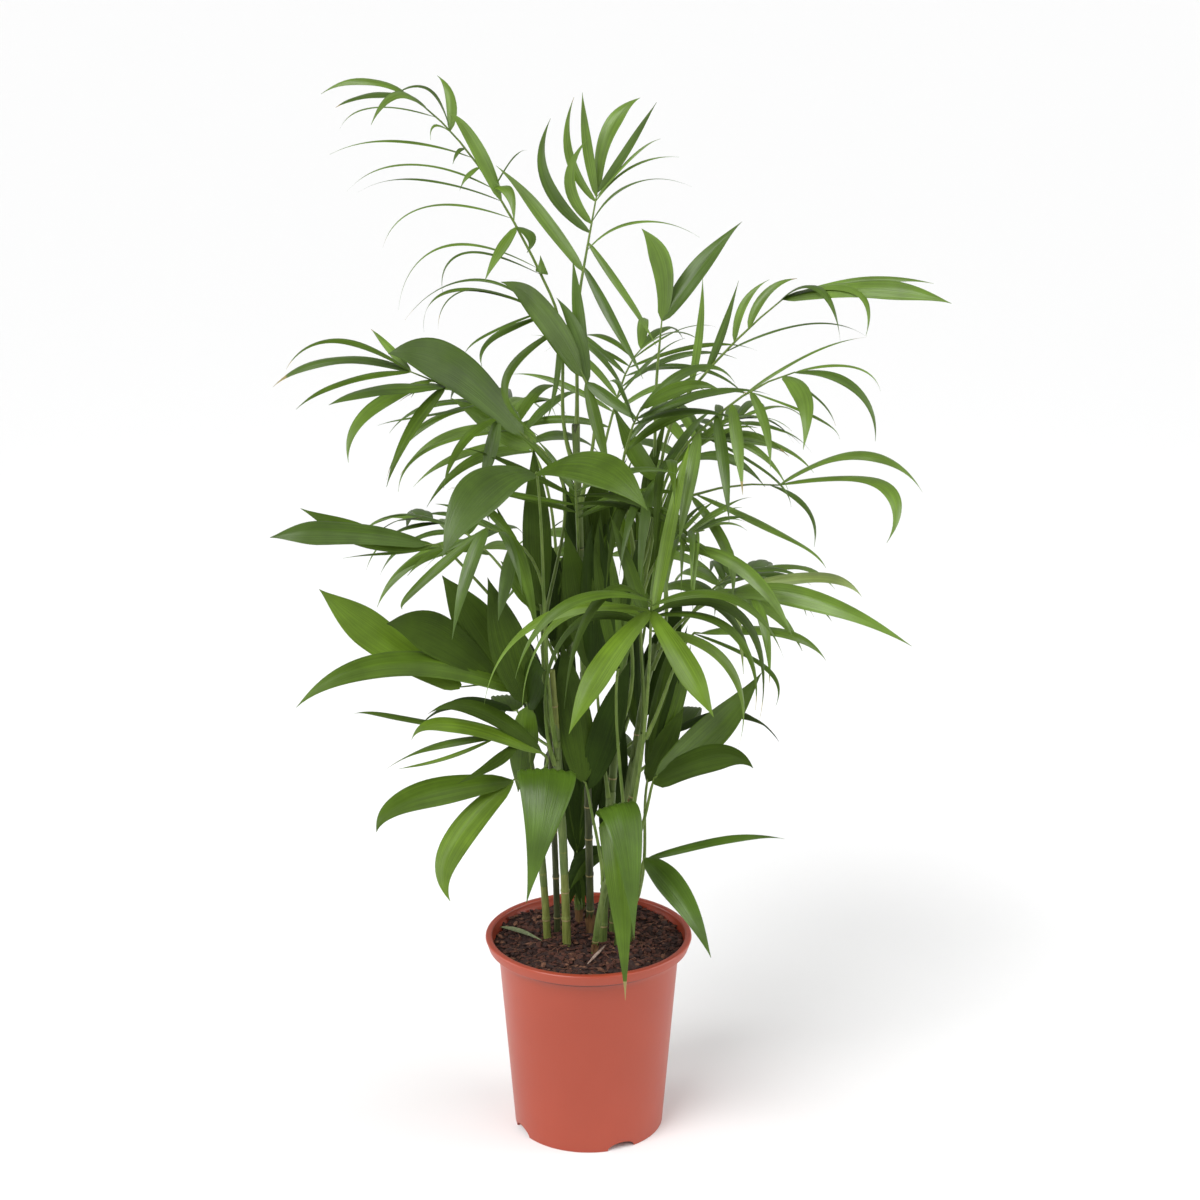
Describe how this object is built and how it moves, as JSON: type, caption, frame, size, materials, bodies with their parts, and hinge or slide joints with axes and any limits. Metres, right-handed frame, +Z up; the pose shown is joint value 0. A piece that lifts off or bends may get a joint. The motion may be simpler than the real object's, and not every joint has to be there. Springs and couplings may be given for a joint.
{
  "type": "potted bamboo palm",
  "caption": "Clump-forming feather palm on slim green canes, in a round plastic nursery pot filled with potting mix.",
  "frame": {"origin": "middle of the pot's flat underside", "axes": "+Z up along the pot's axis, -Y toward the plant's front"},
  "size_m": [0.628, 0.57, 1.058],
  "materials": {
    "pot_plastic": "terracotta-coloured satin plastic",
    "potting_mix": "coarse dark brown bark and peat",
    "cane_green": "smooth ringed green cane",
    "leaf_green": "satin green leaf"
  },
  "bodies": {
    "root": {"pot": "pot_plastic", "soil": "potting_mix", "cane_a": "cane_green", "cane_b": "cane_green", "cane_c": "cane_green", "cane_d": "cane_green", "cane_e": "cane_green", "cane_f": "cane_green", "cane_g": "cane_green", "cane_h": "cane_green", "cane_i": "cane_green", "cane_j": "cane_green", "cane_k": "cane_green", "frond_top_left": "leaf_green", "frond_top_middle": "leaf_green", "frond_upper_left": "leaf_green", "frond_top_right_fork": "leaf_green", "frond_right_high": "leaf_green", "frond_right_middle": "leaf_green", "frond_right_low_long": "leaf_green", "frond_right_broad": "leaf_green", "frond_right_flat": "leaf_green", "frond_low_right": "leaf_green", "frond_front_fan": "leaf_green", "frond_middle_high": "leaf_green", "frond_middle_right": "leaf_green", "frond_left_paddle": "leaf_green", "frond_left_middle": "leaf_green", "frond_left_high": "leaf_green", "frond_left_broad": "leaf_green", "frond_left_low": "leaf_green", "frond_left_hanging": "leaf_green", "frond_centre_bifid": "leaf_green", "frond_front_hang_left": "leaf_green", "frond_front_hang_right": "leaf_green", "frond_low_right_arc": "leaf_green", "frond_inner_right": "leaf_green", "frond_inner_centre": "leaf_green", "frond_inner_left": "leaf_green", "frond_inner_low": "leaf_green", "frond_inner_low_left": "leaf_green", "frond_inner_low_right": "leaf_green", "frond_inner_back_left": "leaf_green", "frond_inner_back_right": "leaf_green", "frond_inner_back_low": "leaf_green", "frond_cross_centre": "leaf_green", "frond_cross_right": "leaf_green", "frond_inner_foot_back": "leaf_green", "frond_inner_foot_right": "leaf_green", "frond_fill_back": "leaf_green", "frond_fill_centre": "leaf_green", "frond_back_high_left": "leaf_green", "frond_back_high": "leaf_green", "frond_back_high_right": "leaf_green", "frond_back_mid_left": "leaf_green", "frond_back_mid": "leaf_green", "frond_back_mid_right": "leaf_green", "frond_back_low_left": "leaf_green", "frond_back_low": "leaf_green", "frond_back_low_right": "leaf_green"}
  },
  "joints": []
}
